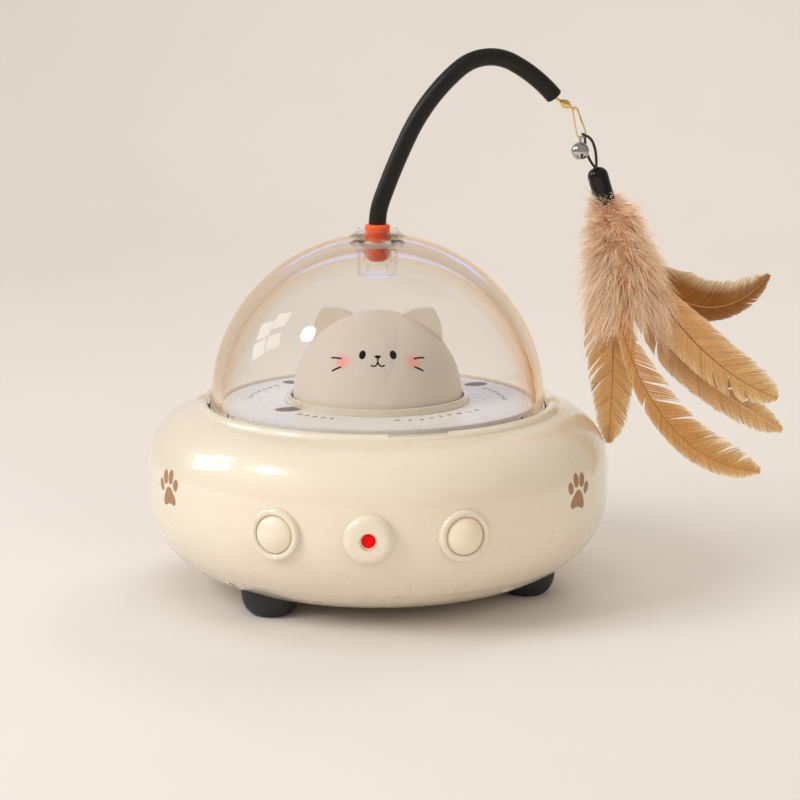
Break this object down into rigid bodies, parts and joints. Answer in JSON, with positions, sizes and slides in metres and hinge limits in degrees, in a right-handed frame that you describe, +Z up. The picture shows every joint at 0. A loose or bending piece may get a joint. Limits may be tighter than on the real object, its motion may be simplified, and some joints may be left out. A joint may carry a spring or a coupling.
{
  "type": "hanging feather cat toy",
  "caption": "Motor-driven cat toy: round base with push buttons, clear dome over a cat head on a turning dish, bent wand with swivel, bell and hanging feather lure.",
  "frame": {"origin": "on the floor under the axis of the turning dish", "axes": "+Z up along the dish axis, -Y to the front panel with the buttons, +X to the right as seen from the front"},
  "size_m": [0.2817, 0.205, 0.2333],
  "materials": {
    "cream": "glossy cream",
    "dish_white": "satin off-white",
    "print_sheet": null,
    "foot_rubber": "matte",
    "steel": "plain",
    "inner_plastic": "moulded",
    "cell_wrap": "shrink wrap",
    "black_plastic": "moulded",
    "board": "solder mask",
    "led": "clear pink",
    "head": "satin taupe",
    "clear": "clear",
    "black_rubber": "matte",
    "orange_silicone": "satin",
    "brass": "plated",
    "bell_metal": "plated",
    "cord": "waxed",
    "cap_black": "glossy",
    "down": "downy",
    "feather": "vaned",
    "red_lens": "glossy"
  },
  "bodies": {
    "base": {"body_shell": "cream", "bottom_cover": "cream", "foot_front_left": "foot_rubber", "foot_right": "foot_rubber", "foot_rear": "foot_rubber", "cover_screws": "steel", "gear_deck": "inner_plastic", "deck_screws": "steel", "spindle": "steel", "thrust_washer": "inner_plastic", "spindle_nut": "steel", "motor_can": "steel", "motor_screws": "steel", "idler_pin": "steel", "battery_cell": "cell_wrap", "battery_holder": "black_plastic", "main_board": "board", "board_parts": "black_plastic", "usb_socket": "steel", "button_boards": "board", "tact_switches": "black_plastic", "head_carrier": "inner_plastic", "led_board": "board", "cheek_leds": "led", "cat_head": "head"},
    "turntable": {"turntable": "dish_white", "turntable_gear": "inner_plastic", "collar_ring": "cream", "printed_disc": "print_sheet"},
    "idler": {"idler_gear": "inner_plastic"},
    "rotor": {"motor_pinion": "inner_plastic", "motor_shaft": "steel"},
    "dome": {"dome": "clear", "wand_socket": "clear"},
    "grip": {"grip_ring": "black_rubber"},
    "wand": {"wand_plug": "orange_silicone", "wand_sleeve": "black_rubber", "wand_core": "brass", "swivel_barrel": "brass"},
    "swivel": {"swivel_eye": "brass"},
    "snap": {"snap_hook": "brass"},
    "bell": {"bell": "bell_metal", "bell_ring": "bell_metal", "bell_pellet": "bell_metal"},
    "lure": {"cord_loop": "cord", "lure_cap": "cap_black", "down_plume": "down", "feather_1": "feather", "feather_2": "feather", "feather_3": "feather", "feather_4": "feather", "feather_5": "feather"},
    "left_key": {"left_button": "cream"},
    "right_key": {"right_button": "cream"},
    "power_key": {"power_button": "red_lens"}
  },
  "joints": [
    {"name": "turntable_spin", "type": "hinge", "parent": "base", "child": "turntable", "pos_m": [0, 0, 0.07], "axis": [0, 0, 1], "continuous": true},
    {"name": "idler_spin", "type": "hinge", "parent": "base", "child": "idler", "pos_m": [0, 0.042, 0.07], "axis": [0, 0, 1], "continuous": true},
    {"name": "pinion_spin", "type": "hinge", "parent": "base", "child": "rotor", "pos_m": [-0.02819, 0.05226, 0.06], "axis": [0, 0, 1], "continuous": true},
    {"name": "dome_lift", "type": "slide", "parent": "turntable", "child": "dome", "axis": [0, 0, 1], "range_m": [0, 0.09]},
    {"name": "wand_pull", "type": "slide", "parent": "dome", "child": "grip", "axis": [0, 0, 1], "range_m": [0, 0.03]},
    {"name": "wand_turn", "type": "hinge", "parent": "grip", "child": "wand", "pos_m": [0, 0, 0.15], "axis": [0, 0, 1], "continuous": true},
    {"name": "swivel_spin", "type": "hinge", "parent": "wand", "child": "swivel", "pos_m": [0.07636, 0.01623, 0.21135], "axis": [0.8384, 0.1782, -0.515], "continuous": true},
    {"name": "snap_swing", "type": "hinge", "parent": "swivel", "child": "snap", "pos_m": [0.08432, 0.01792, 0.20646], "axis": [0.2079, -0.9781, 0], "range_deg": [0, 50]},
    {"name": "lure_swing", "type": "hinge", "parent": "snap", "child": "lure", "pos_m": [0.08887, 0.01889, 0.19527], "axis": [0.4891, 0.104, 0.866], "range_deg": [-30, 30]},
    {"name": "bell_swing", "type": "hinge", "parent": "snap", "child": "bell", "pos_m": [0.08701, 0.01849, 0.19428], "axis": [0.9744, 0.2071, -0.0872], "range_deg": [-20, 20]},
    {"name": "left_press", "type": "slide", "parent": "base", "child": "left_key", "axis": [0.3811, 0.9245, 0], "range_m": [0, 0.0012], "stiffness_N_per_m": 300},
    {"name": "power_press", "type": "slide", "parent": "base", "child": "power_key", "axis": [0, 1, 0], "range_m": [0, 0.0012], "stiffness_N_per_m": 300},
    {"name": "right_press", "type": "slide", "parent": "base", "child": "right_key", "axis": [-0.3811, 0.9245, 0], "range_m": [0, 0.0012], "stiffness_N_per_m": 300}
  ],
  "couplings": [
    {"joint": "idler_spin", "follows": "turntable_spin", "ratio": -3.6667},
    {"joint": "pinion_spin", "follows": "turntable_spin", "ratio": 8.5556}
  ]
}
